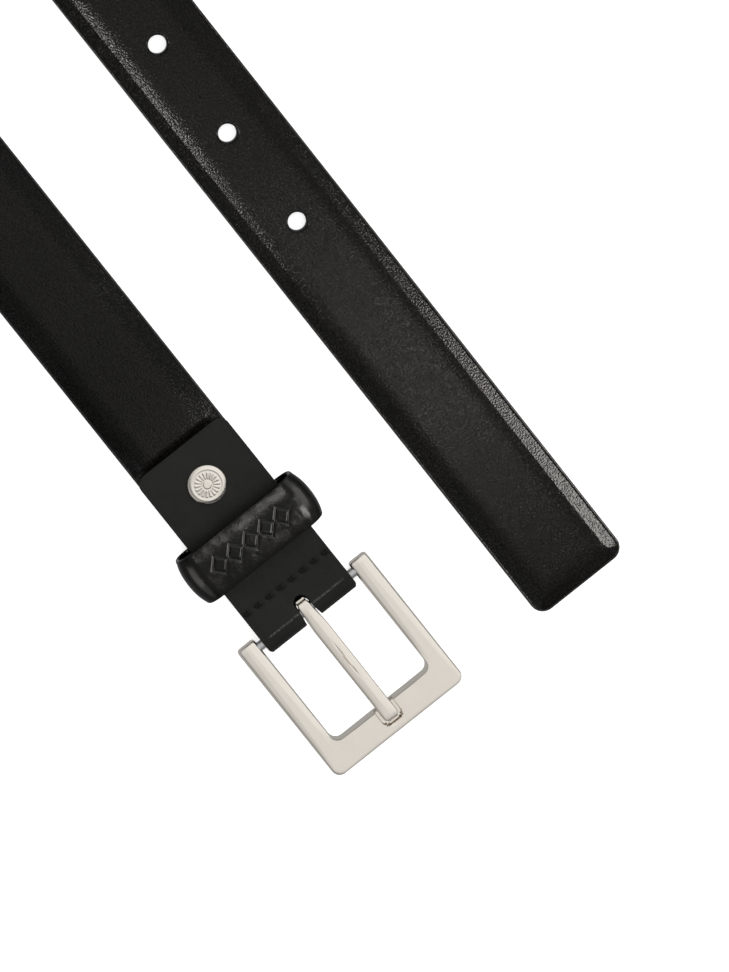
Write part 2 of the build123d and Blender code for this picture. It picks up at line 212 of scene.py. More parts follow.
def panel(along, across, span, width, depths, corners, openings, lips):
    """A flat plan of a strip, with rings that follow its outline and rings round its openings.

    along and across are the lines of the grid inside the rings. Each point gets its place, its depth
    inside the outline and its distance from an opening. A corner radius of None is a cut end, and an
    opening's radius is a function of the place along its middle line."""
    points, faces, index = [], [], {}
    start, end = span
    inner = depths[-1]
    last_i, last_j = len(along) - 1, len(across) - 1
    arc_steps = 8
    tightest = 0.9
    closing = 3.0
    across_shares = [a / across[last_j] for a in reversed(across)]

    def grid(i, j):
        if (i, j) not in index:
            index[i, j] = len(points)
            points.append((along[i], across[j], inner, FAR))
        return index[i, j]

    def radius_at(corner, depth):
        """The ring's corner radius: it closes up towards the square corner of the inner grid."""
        return min(max(corner - depth, tightest), closing * (inner - depth))

    def ring(depth):
        """The points of one ring, in order, from the start of one side round to the other."""
        level = width - depth
        share = [0.0 if r is None else radius_at(r, depth) for r in corners]
        first = along[0] if corners[0] is None else start + depth + share[0]
        final = end - depth - share[1]
        knee_start, knee_end = along[min(4, last_i // 3)], along[max(last_i - 4, 2 * last_i // 3)]
        sides = []
        for s in along:
            if s < knee_start and corners[0] is not None:
                s = knee_start - (knee_start - s) * (knee_start - first) / (knee_start - along[0])
            if s > knee_end:
                s = knee_end + (s - knee_end) * (final - knee_end) / (along[last_i] - knee_end)
            sides.append(s)
        made = [(s, level) for s in sides]

        def end_cap(s, radius, side):
            """An arc, the end's edge and an arc; side is 1 at the far end and -1 at the near one."""
            reach = level - radius
            arc_turns = [math.pi / 2 * k / arc_steps for k in range(1, arc_steps)]
            cap = [(math.sin(turn), reach + radius * math.cos(turn)) for turn in arc_turns]
            cap += [(1.0, share * reach) for share in across_shares]
            cap += [(math.cos(turn), -reach - radius * math.sin(turn)) for turn in arc_turns]
            made.extend((s + side * radius * out, side * a) for out, a in cap)

        end_cap(final, share[1], 1)
        made.extend((s, -level) for s in reversed(sides))
        if corners[0] is not None:
            end_cap(first, share[0], -1)
        return made

    def grid_ring():
        """The outline of the grid, with its corners repeated where the rings have arcs."""
        arc_points = arc_steps - 1
        edge = [(i, last_j) for i in range(last_i + 1)] + [(last_i, last_j)] * arc_points
        edge += [(last_i, j) for j in range(last_j, -1, -1)] + [(last_i, 0)] * arc_points
        edge += [(i, 0) for i in range(last_i, -1, -1)]
        if corners[0] is not None:
            edge += [(0, 0)] * arc_points + [(0, j) for j in range(last_j + 1)]
            edge += [(0, last_j)] * arc_points
        return [grid(i, j) for i, j in edge]

    def join(outer, inside, closed):
        for k in range(len(outer) if closed else len(outer) - 1):
            n = (k + 1) % len(outer)
            face = without_repeats([inside[k], inside[n], outer[n], outer[k]])
            if face:
                faces.append(face)

    rings = []
    for depth in depths[:-1]:
        places = ring(depth)
        rings.append(list(range(len(points), len(points) + len(places))))
        points.extend((s, a, depth, FAR) for s, a in places)
    rings.append(grid_ring())
    for outer, inside in zip(rings, rings[1:]):
        join(outer, inside, corners[0] is not None)

    covered = set()
    for i0, i1, j0, j1, centre_from, centre_to, radius in openings:
        covered |= {(i, j) for i in range(i0, i1) for j in range(j0, j1)}
        edge = [(i, j0) for i in range(i0, i1)] + [(i1, j) for j in range(j0, j1)]
        edge += [(i, j1) for i in range(i1, i0, -1)] + [(i0, j) for j in range(j1, j0, -1)]
        outside = [grid(i, j) for i, j in edge]
        loops = []
        for lip in lips:
            loop = []
            for i, j in edge:
                nearest = np.array([min(max(along[i], centre_from), centre_to), 0.0])
                out = np.array([along[i], across[j]]) - nearest
                place = nearest + out / np.linalg.norm(out) * (radius(nearest[0]) + lip)
                loop.append(len(points))
                points.append((place[0], place[1], inner, lip))
            loops.append(loop)
        loops.append(outside)
        for near, far in zip(loops, loops[1:]):
            join(near, far, True)
    for i in range(last_i):
        for j in range(last_j):
            if (i, j) not in covered:
                faces.append([grid(i, j), grid(i + 1, j), grid(i + 1, j + 1), grid(i, j + 1)])
    return np.array(points, float), faces


def shell(plan, faces, top, bottom, place):
    """Closes a plan into a solid: its top, its bottom, and a wall round every free edge."""
    s, a, depth, lip = plan.T
    upper = place(s, a, top(s, a, depth, lip))
    lower = place(s, a, bottom(s, a, depth, lip))
    count = len(plan)
    edges = {}
    for f in faces:
        for v, w in zip(f, f[1:] + f[:1]):
            edges[v, w] = edges.get((v, w), 0) + 1
    # Neighbouring faces may wind either way here, so an edge is free if it is used once in all.
    free = [(v, w) for v, w in edges if edges[v, w] + edges.get((w, v), 0) == 1]
    made = [list(f) for f in faces]
    made += [[v + count for v in reversed(f)] for f in faces]
    made += [[w, v, v + count, w + count] for v, w in free]
    return np.concatenate([upper, lower]), made, len(faces)


def steps(start, end, largest):
    """Evenly spaced values from start up to, but not including, end."""
    count = max(1, math.ceil(abs(end - start) / largest))
    return [start + (end - start) * k / count for k in range(count)]


# ---- materials ----


class Nodes:
    """A short way to write the nodes of a material or of the world."""

    def __init__(self, owner, shader, **values):
        owner.use_nodes = True
        self.owner = owner
        self.tree = owner.node_tree
        self.shader = self.tree.nodes[shader]
        for socket, value in values.items():
            self.shader.inputs[socket.replace("_", " ")].default_value = value

    def add(self, kind, inputs=(), **settings):
        node = self.tree.nodes.new("ShaderNode" + kind)
        for key, value in settings.items():
            setattr(node, key, value)
        for key, value in dict(inputs).items():
            if isinstance(value, bpy.types.NodeSocket):
                self.tree.links.new(value, node.inputs[key])
            else:
                node.inputs[key].default_value = value
        return node

    def math(self, operation, a, b):
        return self.add("Math", {0: a, 1: b}, operation=operation).outputs[0]

    def place(self, surface):
        """Coordinates in metres: on the strap's own surface, or in space."""
        if surface:
            return self.add("UVMap", uv_map="surface").outputs["UV"]
        return self.add("TexCoord").outputs["Object"]

    def noise(self, place, scale, detail=2.0, roughness=0.5, distortion=0.0):
        inputs = {"Vector": place, "Scale": scale, "Detail": detail}
        inputs.update({"Roughness": roughness, "Distortion": distortion})
        return self.add("TexNoise", inputs).outputs["Fac"]

    def cells(self, place, scale):
        """Distances inside small cells that run softly into each other."""
        inputs = {"Vector": place, "Scale": scale, "Smoothness": 0.5}
        return self.add("TexVoronoi", inputs, feature="SMOOTH_F1").outputs["Distance"]

    def range(self, value, low, high, to_low, to_high):
        inputs = {"Value": value, 1: low, 2: high, 3: to_low, 4: to_high}
        return self.add("MapRange", inputs).outputs[0]

    def colours(self, value, stops):
        node = self.add("ValToRGB", {"Fac": value})
        ramp = node.color_ramp
        while len(ramp.elements) < len(stops):
            ramp.elements.new(0.5)
        for element, (position, colour) in zip(ramp.elements, stops):
            element.position = position
            element.color = (*colour, 1)
        return node.outputs["Color"]

    def link(self, output, socket):
        self.tree.links.new(output, self.shader.inputs[socket])

    def bump(self, height, distance, strength=1.0, normal=None):
        inputs = {"Height": height, "Distance": distance, "Strength": strength}
        if normal is not None:
            inputs["Normal"] = normal
        return self.add("Bump", inputs).outputs["Normal"]


mid_low, mid_high = 0.3, 0.7


def new_material(name, **values):
    return Nodes(bpy.data.materials.new(name), "Principled BSDF", **values)


def one_grain(name, grain, relief, strength, shine, dark, light, **values):
    """A material whose relief, roughness and colour all follow one noise."""
    m = new_material(name, **values)
    noise = m.noise(m.place(surface=False), **grain)
    m.link(m.bump(noise, relief, strength), "Normal")
    m.link(m.range(noise, mid_low, mid_high, *shine), "Roughness")
    m.link(m.colours(noise, [(mid_low, dark), (mid_high, light)]), "Base Color")
    return m.owner


def grain_leather():
    """Black calf with a fine printed pebble and a satin finish."""
    m = new_material("grain_leather", Specular_IOR_Level=0.09)
    place = m.place(surface=True)
    wobble = m.add("VectorMath", {0: m.noise(place, 420), 1: (0.0005,) * 3}, operation="MULTIPLY")
    warped = m.add("VectorMath", {0: place, 1: wobble.outputs[0]}).outputs[0]
    pebble = m.cells(warped, 2000)
    fine = m.noise(place, 3800, detail=3)
    wave = m.noise(place, 150, detail=3)
    height = m.math("ADD", m.math("MULTIPLY", pebble, -1.0), m.math("MULTIPLY", fine, 0.3))
    grain = m.bump(height, 0.0001, 0.6)
    rolling = m.bump(wave, 0.0002, 0.1, grain)
    m.link(rolling, "Normal")
    patches = m.noise(place, 38, detail=4, roughness=0.6)
    shine = m.math("ADD", patches, m.math("MULTIPLY", pebble, 0.25))
    m.link(m.range(shine, 0.3, 0.9, 0.13, 0.2), "Roughness")
    stops = [(0.25, (0.0062, 0.0058, 0.0052)), (0.42, (0.0025, 0.0023, 0.0021))]
    stops.append((0.6, (0.0009, 0.0008, 0.0007)))
    mottle = m.math("ADD", m.math("MULTIPLY", patches, 0.3), m.math("MULTIPLY", pebble, 0.7))
    m.link(m.colours(mottle, stops), "Base Color")
    return m.owner


def edge_paint():
    """The sealed, slightly uneven black paint on every cut edge."""
    drag = {"scale": 420, "detail": 3}
    dark, light = (0.004, 0.0036, 0.0033), (0.008, 0.007, 0.0065)
    shine = (0.28, 0.46)
    return one_grain("edge_paint", drag, 0.0002, 0.5, shine, dark, light, Specular_IOR_Level=0.25)


def lining_leather():
    """The flesh side's finished split: a fine fibrous nap, a little lighter than the face."""
    m = new_material("lining_leather", Specular_IOR_Level=0.3)
    place = m.place(surface=True)
    fibres = m.noise(place, 1500, detail=5, roughness=0.65, distortion=0.6)
    creases = m.noise(place, 160, detail=3)
    height = m.math("ADD", fibres, m.math("MULTIPLY", creases, 0.8))
    m.link(m.bump(height, 0.00018, 0.6), "Normal")
    m.link(m.range(fibres, mid_low, mid_high, 0.5, 0.66), "Roughness")
    dark, light = (0.014, 0.0125, 0.0115), (0.022, 0.020, 0.018)
    m.link(m.colours(creases, [(mid_low, dark), (mid_high, light)]), "Base Color")
    return m.owner


def plain_grain(m, place, relief, swell, shine, dark, light):
    """The fine pores and soft folds of unprinted black leather; swell is the height of the folds."""
    pores = m.cells(place, 2600)
    grains = m.noise(place, 900, detail=4, roughness=0.6)
    folds = m.noise(place, 120, detail=2)
    fine = m.math("ADD", m.math("MULTIPLY", pores, -0.6), grains)
    height = m.math("ADD", fine, m.math("MULTIPLY", folds, swell))
    m.link(m.bump(height, relief, 0.5), "Normal")
    m.link(m.range(grains, mid_low, mid_high, shine, shine + 0.12), "Roughness")
    return m.colours(folds, [(mid_low, dark), (mid_high, light)])


def tab_leather():
    """Matte, with a painted highlight: lighter specks in the base colour along the crest where the tab
    is creased over the bar.
    """
    m = new_material("tab_leather", Specular_IOR_Level=0.14)
    place = m.place(surface=False)
    dark, light = (0.0095, 0.0093, 0.0087), (0.0125, 0.0122, 0.0115)
    colour = plain_grain(m, place, 0.00009, 1.0, 0.4, dark, light)
    # Painted highlight: a speckled line of lighter base colour along the crest over the bar, on the top
    # leaf only, where light catches the crease.
    split = m.add("SeparateXYZ", {0: place}).outputs
    off_crest = m.math("ABSOLUTE", m.math("SUBTRACT", split["X"], crest_x * MM), 0.0)
    off_middle = m.math("ABSOLUTE", m.math("SUBTRACT", split["Y"], bar_y * MM), 0.0)
    line = m.range(off_crest, 0.00012, 0.00045, 1.0, 0.0)
    span = m.range(off_middle, crest_half_span * MM, (crest_half_span + 1.5) * MM, 1.0, 0.0)
    above = m.range(split["Z"], 0.004, 0.0045, 0.0, 1.0)
    highlight_specks = m.range(m.noise(place, 1500, detail=3, roughness=0.7), 0.42, 0.62, 0.15, 1.0)
    painted_highlight = m.math("MULTIPLY", m.math("MULTIPLY", line, span), m.math("MULTIPLY", highlight_specks, above))
    # The pale grey that is mixed in is the painted highlight's colour.
    mix = m.add("Mix", {"Factor": painted_highlight, 6: colour, 7: (0.085, 0.085, 0.082, 1)}, data_type="RGBA")
    m.link(mix.outputs[2], "Base Color")
    return m.owner


def keeper_leather():
    """Firm, bright-finished leather."""
    m = new_material("keeper_leather", Specular_IOR_Level=0.14)
    place = m.place(surface=False)
    dark, light = (0.0009, 0.0009, 0.0008), (0.0016, 0.0015, 0.0014)
    m.link(plain_grain(m, place, 0.00006, 14.0, 0.14, dark, light), "Base Color")
    return m.owner


def waxed_thread():
    fibre = {"scale": 4000, "detail": 3}
    dark, light = (0.0015, 0.0015, 0.0015), (0.0040, 0.0039, 0.0038)
    shine = (0.38, 0.55)
    return one_grain("waxed_thread", fibre, 0.00008, 0.6, shine, dark, light, Specular_IOR_Level=0.15)


def satin_nickel():
    """Warm nickel plate over a cast body: polished, with a faint brushed haze and soft pits."""
    m = new_material("satin_nickel", Metallic=1.0)
    place = m.place(surface=False)
    stretch = m.add("Mapping", {"Vector": place, "Scale": (0.12, 1.0, 1.0)}).outputs[0]
    hairs = m.noise(stretch, 2600, detail=3)
    cast = m.noise(place, 190, detail=2)
    m.link(m.bump(cast, 0.00008, 0.04, m.bump(hairs, 0.000001, 0.2)), "Normal")
    m.link(m.range(m.math("ADD", hairs, cast), 0.6, 1.4, 0.2, 0.27), "Roughness")
    dark, light = (0.82, 0.768, 0.692), (0.85, 0.80, 0.727)
    m.link(m.colours(cast, [(mid_low, dark), (mid_high, light)]), "Base Color")
    return m.owner


def steel_wire():
    drawn = {"scale": 3000, "detail": 2}
    dark, light = (0.48, 0.48, 0.49), (0.58, 0.58, 0.59)
    return one_grain("steel_wire", drawn, 0.00001, 0.5, (0.24, 0.4), dark, light, Metallic=1.0)


crest_x = bar_x - 0.75
crest_half_span = 12.0
leather = grain_leather()
paint = edge_paint()
lining = lining_leather()
tab_skin = tab_leather()
keeper_skin = keeper_leather()
thread = waxed_thread()
nickel = satin_nickel()
steel = steel_wire()

# ---- the strap's section ----

bead_width = 0.7
bead_top = 1.62
bevel_to = 4.0
bevel_slope = 0.36
shoulder_to = 8.2
flat_top = 2.0
skin_depths = [0, 0.07, 0.18, 0.32, 0.45, 0.55, 0.62, 0.7, 0.78, 0.88, 1.1, 1.6, 2.4, 3.2, 3.7]
skin_depths += [3.88, 3.96, 4.04, 4.12, 4.3, 4.7, 5.2, 5.8, 6.4, 7.0, 7.6, 8.2, 8.4]
# A rounding is given as its width and its drop.
bead_rounding = (0.45, 0.35)
flat_rounding = (0.35, 0.5)
lining_rounding = (0.45, 0.5)
crease_width = 0.1
crease_depth = 0.1
paint_depth = 0.6
billet_paint_depth = 0.4
backing_paint_depth = 0.3
skin_lift = 0.06
lining_inset = 0.04
seam_depth = 0.2
belly = 8.0


def raised_height(depth):
    """Height of the padded face: a painted bead, a creased line, a bevel, and a gentle shoulder."""
    bead = bead_top - rounding(depth, *bead_rounding)
    crease = soft_line(depth - bead_width, crease_width, crease_depth)
    bevel = bevel_slope * np.clip(depth - bead_width, 0, bevel_to - bead_width)
    rise = plateau_top - bead_top - bevel_slope * (bevel_to - bead_width)
    share = np.clip((depth - bevel_to) / (shoulder_to - bevel_to), 0, 1)
    return bead - crease + bevel + rise * (1 - (1 - share) ** 2)


def unpadded_height(depth):
    """Height of the face where there is no padding, under the tab."""
    return flat_top - rounding(depth, *flat_rounding)


def skin_bottom(depth):
    return lining_top + skin_lift * np.clip(1 - depth / seam_depth, 0, 1)


def lining_bottom(depth):
    return rounding(depth, *lining_rounding)


# ---- tip leg: its leather and its lining ----

hole_radius = 2.6
hole_pitch = 31.0
hole_count = 5
first_hole_from_tip = 129.0
hole_patch = 5.0
tip_corner = 4.0
hole_lips = (0, 0.05, 0.13, 0.25, 0.42, 0.65, 1.0, 1.5)
hole_cells_across = 8
billet_line = 2.2

band = skin_depths[-1]
half_cells = hole_cells_across / 2
patch_lines = [hole_patch * (k / half_cells - 1) for k in range(hole_cells_across + 1)]
billet_across = [band - half_width] + patch_lines + [half_width - band]
hole_centres = [tip_x - first_hole_from_tip - hole_pitch * i for i in range(hole_count - 1, -1, -1)]
billet_along = []
reached = bend_seam_x
hole_cells = []
for centre in hole_centres:
    billet_along += steps(reached, centre - hole_patch, billet_line)
    first = len(billet_along)
    billet_along += [centre + line for line in patch_lines[:-1]]
    cells = (first, first + hole_cells_across, 1, 1 + hole_cells_across)
    hole_cells.append((*cells, centre, centre, lambda s: hole_radius))
    reached = centre + hole_patch
billet_along += steps(reached, tip_x - band, billet_line) + [tip_x - band]


def on_tip_leg(s, a, h):
    point, across, normal = leg(1, s, -1)
    return point + across * a[:, None] + normal * h[:, None]


def billet_top(s, a, depth, lip):
    return raised_height(depth) - rounding(lip, 0.6, 0.34)


def billet_bottom(s, a, depth, lip):
    return skin_bottom(depth)


def billet_lining_top(s, a, depth, lip):
    return lining_top - lining_inset * np.clip(1 - depth / seam_depth, 0, 1)


def billet_lining_bottom(s, a, depth, lip):
    return lining_bottom(depth) + rounding(lip, 0.4, 0.12)


def edge_slots(plan, made, per_side, paint_to):
    """Edge paint on the walls, on the lips of openings and as far in as paint_to; leather elsewhere."""
    depth, lip = np.tile(plan[:, 2], 2), np.tile(plan[:, 3], 2)
    slots = []
    for number, face in enumerate(made):
        rim = min(depth[face]) < paint_to or min(lip[face]) < 0.1
        slots.append(1 if rim or number >= 2 * per_side else 0)
    return slots


def billet_piece(name, top, bottom, skin, paint_to):
    """A sheet of the tip leg; its surface coordinates are the distance from the tip and across."""
    span = (bend_seam_x, tip_x)
    corners = (None, tip_corner)
    plan, faces = panel(
        billet_along, billet_across, span, half_width, skin_depths, corners, hole_cells, hole_lips
    )
    points, made, per_side = shell(plan, faces, top, bottom, on_tip_leg)
    slots = edge_slots(plan, made, per_side, paint_to)
    count = len(plan)
    cut = []
    for number in range(2 * per_side, len(made)):
        if max(plan[v % count, 0] for v in made[number]) <= bend_seam_x:
            cut.append(number)
    uv = np.tile(np.stack([tip_x - plan[:, 0], plan[:, 1]], axis=1), (2, 1))
    return make_piece(name, points, made, [skin, paint], slots, uv, cut)


billet_leather = billet_piece("billet_leather", billet_top, billet_bottom, leather, billet_paint_depth)
billet_backing = billet_piece(
    "billet_backing", billet_lining_top, billet_lining_bottom, lining, backing_paint_depth
)

# ---- the rest of the strap, swept along its path ----


def face_slots(section):
    """Edge paint on the bead and the wall, leather on the rest."""
    made = []
    for k, (a, _) in enumerate(section):
        b = section[(k + 1) % len(section)][0]
        made.append(1 if min(abs(a), abs(b)) > half_width - paint_depth else 0)
    return made


def sweep(name, stations, lengths, loop, materials):
    """A closed section swept along stations; loop gives the section at a given share of padding."""
    points, uv = [], []
    for (point, across, normal, rise), length in zip(stations, lengths):
        section = loop(rise)
        for a, h in section:
            points.append(point + across * a + normal * h)
            uv.append((length, a))
    faces = tube_faces(len(stations), len(section))
    slots = face_slots(section) * (len(stations) - 1) + [1, 1]
    return make_piece(name, points, faces, materials, slots, uv, [-2, -1])


def strap_stations():
    """Point, across, normal and share of padding, from the seam of the tip leg round to the buckle."""
    up, down = math.pi / 2, 1.5 * math.pi
    tip_lines, flare_lines, loop_lines = 60, 16, 110
    buckle_lines, ramp_lines, shoulder_lines, under_lines = 90, 24, 9, 24
    tip_side, other_side = (loop_start_x, flare_y), (loop_start_x, -flare_y)
    parts = [
        leg(1, np.linspace(bend_seam_x, loop_start_x, tip_lines), -1),
        arc(tip_side, flare_radius, down, down - loop_flare, flare_lines, -1),
        arc((loop_centre_x, 0), loop_radius, up - loop_flare, down + loop_flare, loop_lines, 1),
        arc(other_side, flare_radius, up + loop_flare, up, flare_lines, -1),
    ]
    shoulder_x = tab_low[0] - shoulder_length
    ramp_x = tab_low[0] - ramp_length
    flat_x = tab_low[0] - 0.1
    buckle_side = np.linspace(loop_start_x, ramp_x, buckle_lines)[1:]
    ramp = np.linspace(ramp_x, shoulder_x, ramp_lines)[1:]
    shoulder = np.linspace(shoulder_x, flat_x, shoulder_lines)[1:]
    under = np.linspace(tab_low[0] + 1.5, strap_end_x, under_lines)
    xs = np.concatenate([buckle_side, ramp, shoulder, under])
    point, across, normal = leg(-1, xs, 1)
    point[:, 2] += leaf_gap_height * smooth((xs - ramp_x) / (shoulder_x - ramp_x))
    parts.append((point, across, normal))
    point, across, normal = (np.concatenate([p[k] for p in parts]) for k in range(3))
    rise = np.ones(len(point))
    tail = slice(len(point) - len(xs), None)
    rise[tail] = 1 - smooth((xs - shoulder_x) / (flat_x - shoulder_x))
    travelled = np.concatenate([[0], np.cumsum(np.linalg.norm(np.diff(point, axis=0), axis=1))])
    return list(zip(point, across, normal, rise)), travelled + tip_x - bend_seam_x


patch_depths = [half_width - abs(a) for a in billet_across[1:5]]
section_depths = np.array(skin_depths + patch_depths + [half_width])


def face_section(rise):
    raised = raised_height(section_depths)
    plain = unpadded_height(section_depths)
    top = plain + (raised - plain) * rise
    right = [(half_width - d, t) for d, t in zip(section_depths, top)]
    left = [(-a, h) for a, h in reversed(right[:-1])]
    edge = skin_bottom(0)
    underside = [(-half_width, edge), (-belly, lining_top), (0.0, lining_top), (belly, lining_top)]
    return right + left + underside + [(half_width, edge)]


def lining_section(rise):
    low = [(half_width - d, lining_bottom(d)) for d in (0, 0.1, 0.2, 0.32, 0.45)]
    right = [(half_width, lining_top - lining_inset)] + low + [(belly, 0.0)]
    return right + [(-a, h) for a, h in reversed(right)]


stations, travelled = strap_stations()
strap_leather = sweep("strap_leather", stations, travelled, face_section, [leather, paint])
strap_backing = sweep("strap_backing", stations, travelled, lining_section, [lining, paint])

# ---- tab: a strip folded round the bar ----

tab_thickness = 1.0
tab_half_width = (tab_high[1] - tab_low[1]) / 2
slot_half_width = 2.6
slot_half_at_root = 2.05
slot_half_below = 1.9
slot_centre = -2.9
slot_centre_below = -1.35
stitch_x = (thread_low[0] + thread_high[0]) / 2 - bar_x
stitch_pitch = 3.9
stitch_count = 8
tab_path_points = [
    (tab_low[0] - bar_x, 5.05), (-45.0, 5.05), (-30.0, 5.05), (-18.0, 5.05), (-12.0, 5.06),
    (-8.5, 5.13), (-5.0, 5.24), (-2.2, 5.33), (-1.1, 5.35), (-0.3, 5.26), (1.3, 4.92),
    (2.3, 4.52), (3.05, 3.9), (3.5, 3.25), (3.65, 2.7), (3.5, 2.05), (3.0, 1.25), (2.2, 0.6),
    (1.05, 0.22), (0.0, 0.12), (-2.0, 0.2), (-5.0, 0.55), (-7.5, 0.92), (-9.5, 1.05),
    (-14.0, 1.05), (-30.0, 1.05), (-45.0, 1.05), (-52.0, 1.05),
]


def smooth_path(controls, per_span):
    """A Catmull-Rom curve through the controls, with its length and its outward normals."""
    c = np.array([controls[0]] + controls + [controls[-1]], float)
    made = []
    for i in range(1, len(c) - 2):
        for k in range(per_span):
            t = k / per_span
            p0, p1, p2, p3 = c[i - 1 : i + 3]
            curve = 2 * p1 + (p2 - p0) * t + (2 * p0 - 5 * p1 + 4 * p2 - p3) * t**2
            made.append((curve + (3 * p1 - p0 - 3 * p2 + p3) * t**3) / 2)
    made.append(c[-1])
    made = np.array(made)
    length = np.concatenate([[0], np.cumsum(np.linalg.norm(np.diff(made, axis=0), axis=1))])
    tangent = np.gradient(made, axis=0)
    tangent /= np.linalg.norm(tangent, axis=1)[:, None]
    outward = np.stack([-tangent[:, 1], tangent[:, 0]], axis=1)
    return made, length, outward


path_steps = 24
tab_curve, tab_length, tab_outward = smooth_path(tab_path_points, path_steps)
fold_index = int(np.argmax(tab_curve[:, 0]))
fold_s = tab_length[fold_index]


def tab_s(x, on_top):
    """The distance along the tab's strip of a place x from the bar, on its top or bottom leaf."""
    if on_top:
        return float(np.interp(x, tab_curve[: fold_index + 1, 0], tab_length[: fold_index + 1]))
    return float(np.interp(-x, -tab_curve[fold_index:, 0], tab_length[fold_index:]))


stitch_s = tab_s(stitch_x, True)
stitch_back_s = tab_s(stitch_x, False)
crest_s = tab_s(crest_x - bar_x, True)


def on_tab(s, a, h):
    """The strip's point at s and a, h above its outer face; it narrows a little at the fold."""
    x = np.interp(s, tab_length, tab_curve[:, 0])
    z = np.interp(s, tab_length, tab_curve[:, 1])
    out_x = np.interp(s, tab_length, tab_outward[:, 0])
    out_z = np.interp(s, tab_length, tab_outward[:, 1])
    pinch = 1 - soft_line(s - fold_s, 1.3, 0.035)
    return np.stack([bar_x + x + out_x * h, bar_y + a * pinch, z + out_z * h], axis=1)


tab_depths = [0, 0.05, 0.13, 0.26, 0.5, 0.75, 0.9, 1.0, 1.1, 1.25, 1.6, 2.0]
tab_lips = (0, 0.05, 0.13, 0.26, 0.5, 0.9)
tab_band = tab_depths[-1]
tab_corners = (3.0, 1.6)
tab_crease = 1.0
tab_paint_depth = 0.1
tab_top_rounding = (0.3, 0.3)
tab_bottom_rounding = (0.3, 0.22)
slot_patch = 5.0


def tab_lines():
    """The grid along the strip: fine at the stitch row and round the fold."""
    plain, stitched, folded = 2.0, 0.2, 0.3
    row = 1.6
    slot_from = tab_s(slot_centre, True) - slot_patch
    slot_to = tab_s(slot_centre_below, False) + slot_patch
    final_line = tab_length[-1] - tab_band
    lines = steps(tab_band, stitch_s - row, plain)
    lines += steps(stitch_s - row, slot_from, stitched)
    first = len(lines)
    lines += steps(slot_from, slot_to, folded)
    final = len(lines)
    lines += steps(slot_to, stitch_back_s + row, stitched)
    lines += steps(stitch_back_s + row, final_line, plain) + [final_line]
    return lines, first, final


def slot_half(s):
    """Half the slot's width at s: widest at the fold, close to the tongue's root on both leaves."""
    before, after = tab_s(-1.0, True), tab_s(-1.0, False)
    to_fold = smooth((s - before) / (fold_s - before))
    past_fold = smooth((s - fold_s - 2.0) / (after - fold_s - 2.0))
    opened = slot_half_at_root + (slot_half_width - slot_half_at_root) * to_fold
    return opened + (slot_half_below - slot_half_width) * past_fold


def tab_top(s, a, depth, lip):
    """The outer face: rounded cut edges, a creased line inside them, and the pull of the stitches."""
    edge = rounding(depth, *tab_top_rounding) + rounding(lip, 0.3, 0.26)
    crease = soft_line(depth - tab_crease, 0.13, 0.05)
    row = np.minimum(abs(s - stitch_s), abs(s - stitch_back_s))
    middle = (stitch_count - 1) / 2
    stitch = np.clip(np.round(a / stitch_pitch + middle), 0, stitch_count - 1)
    nearest = (stitch - middle) * stitch_pitch
    dimple = 0.5 * np.exp(-((row / 0.85) ** 2) - (abs(a - nearest) / 1.5) ** 3)
    span = smooth((crest_half_span + 2.0 - abs(a)) / 2.0)
    ridge = soft_line(s - crest_s, 0.3, 0.08) * span
    return ridge - (edge + crease + dimple)


def tab_bottom(s, a, depth, lip):
    return rounding(depth, *tab_bottom_rounding) + rounding(lip, 0.3, 0.2) - tab_thickness


def tab_piece():
    lines, first, final = tab_lines()
    reach = tab_half_width - tab_band
    across = steps(-reach, -slot_patch, 0.45)
    left = len(across)
    across += steps(-slot_patch, slot_patch, 0.5)
    right = len(across)
    across += steps(slot_patch, reach, 0.45) + [reach]
    slot_from, slot_to = tab_s(slot_centre, True), tab_s(slot_centre_below, False)
    slot = (first, final, left, right, slot_from, slot_to, slot_half)
    span = (0.0, tab_length[-1])
    plan, faces = panel(
        lines, across, span, tab_half_width, tab_depths, tab_corners, [slot], tab_lips
    )
    points, made, per_side = shell(plan, faces, tab_top, tab_bottom, on_tab)
    slots = edge_slots(plan, made, per_side, tab_paint_depth)
    return make_piece("tab_strip", points, made, [tab_skin, paint], slots)


tab_strip = tab_piece()

# ---- thread ----


def stitch_tube(from_a, to_a, base_s, sunk):
    """One stitch: a flat two-ply thread that dips into the leather at both ends."""
    rings, sides = 26, 20
    half_across, half_high = 0.7, 0.36
    points = []
    for i in range(rings + 1):
        t = i / rings
        a = from_a + (to_a - from_a) * t
        dip = 0.35 * (abs(2 * t - 1) ** 4)
        slant = 0.35 * (t - 0.5)
        end = math.sqrt(max(0.0, 1 - abs(2 * t - 1) ** 5)) * 0.7 + 0.3
        for k in range(sides):
            turn = 2 * math.pi * k / sides
            ply = (1 + 0.12 * math.cos(2 * turn - 5.2 * math.pi * t)) * end
            s = base_s + slant + half_across * ply * math.cos(turn)
            points.append((s, a, sunk - dip + half_high * ply * math.sin(turn)))
    return on_tab(*np.array(points).T), tube_faces(rings + 1, sides)


def tab_stitches():
    """A row of stitches on each leaf of the tab, with a gap between one stitch and the next."""
    gap, sunk = 0.9, -0.42
    points, faces = [], []
    for base in (stitch_s, stitch_back_s):
        for i in range(stitch_count):
            from_a = stitch_pitch * (i - stitch_count / 2) + gap / 2
            tube, its_faces = stitch_tube(from_a, from_a + stitch_pitch - gap, base, sunk)
            faces += [[v + len(points) for v in f] for f in its_faces]
            points.extend(tube)
    return make_piece("tab_stitches", points, faces, [thread])


stitches = tab_stitches()

# ---- rivet cap: a turned head with plain radial flutes ----

flute_count = 18
cap_base = 5.03


